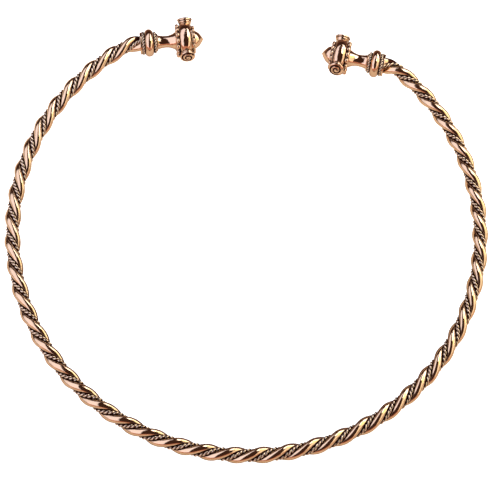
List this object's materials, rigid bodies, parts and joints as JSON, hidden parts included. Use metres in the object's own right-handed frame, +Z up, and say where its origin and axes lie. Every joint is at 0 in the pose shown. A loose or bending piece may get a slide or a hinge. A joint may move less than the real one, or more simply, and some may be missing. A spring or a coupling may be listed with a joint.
{
  "type": "torc",
  "caption": "Open bronze neck ring of twisted wires with fine ropes in the grooves and cast terminals with spiral bosses.",
  "frame": {"origin": "on the surface that the torc lies on, under the middle of its outline", "axes": "+Z up from that surface, +Y towards the opening between the terminals, +X across from the left terminal to the right one"},
  "size_m": [0.1398, 0.1344, 0.0119],
  "materials": {
    "twist_bronze": "polished rose bronze, dark brown patina in the grooves",
    "rope_bronze": "fine twisted wire, darkened between the turns",
    "cast_bronze": "polished casting, dark brown patina round beads and in the spirals"
  },
  "bodies": {
    "root": {"twist_wire_1": "twist_bronze", "twist_wire_2": "twist_bronze", "filigree_rope_1": "rope_bronze", "filigree_rope_2": "rope_bronze", "left_terminal": "cast_bronze", "right_terminal": "cast_bronze"}
  },
  "joints": []
}
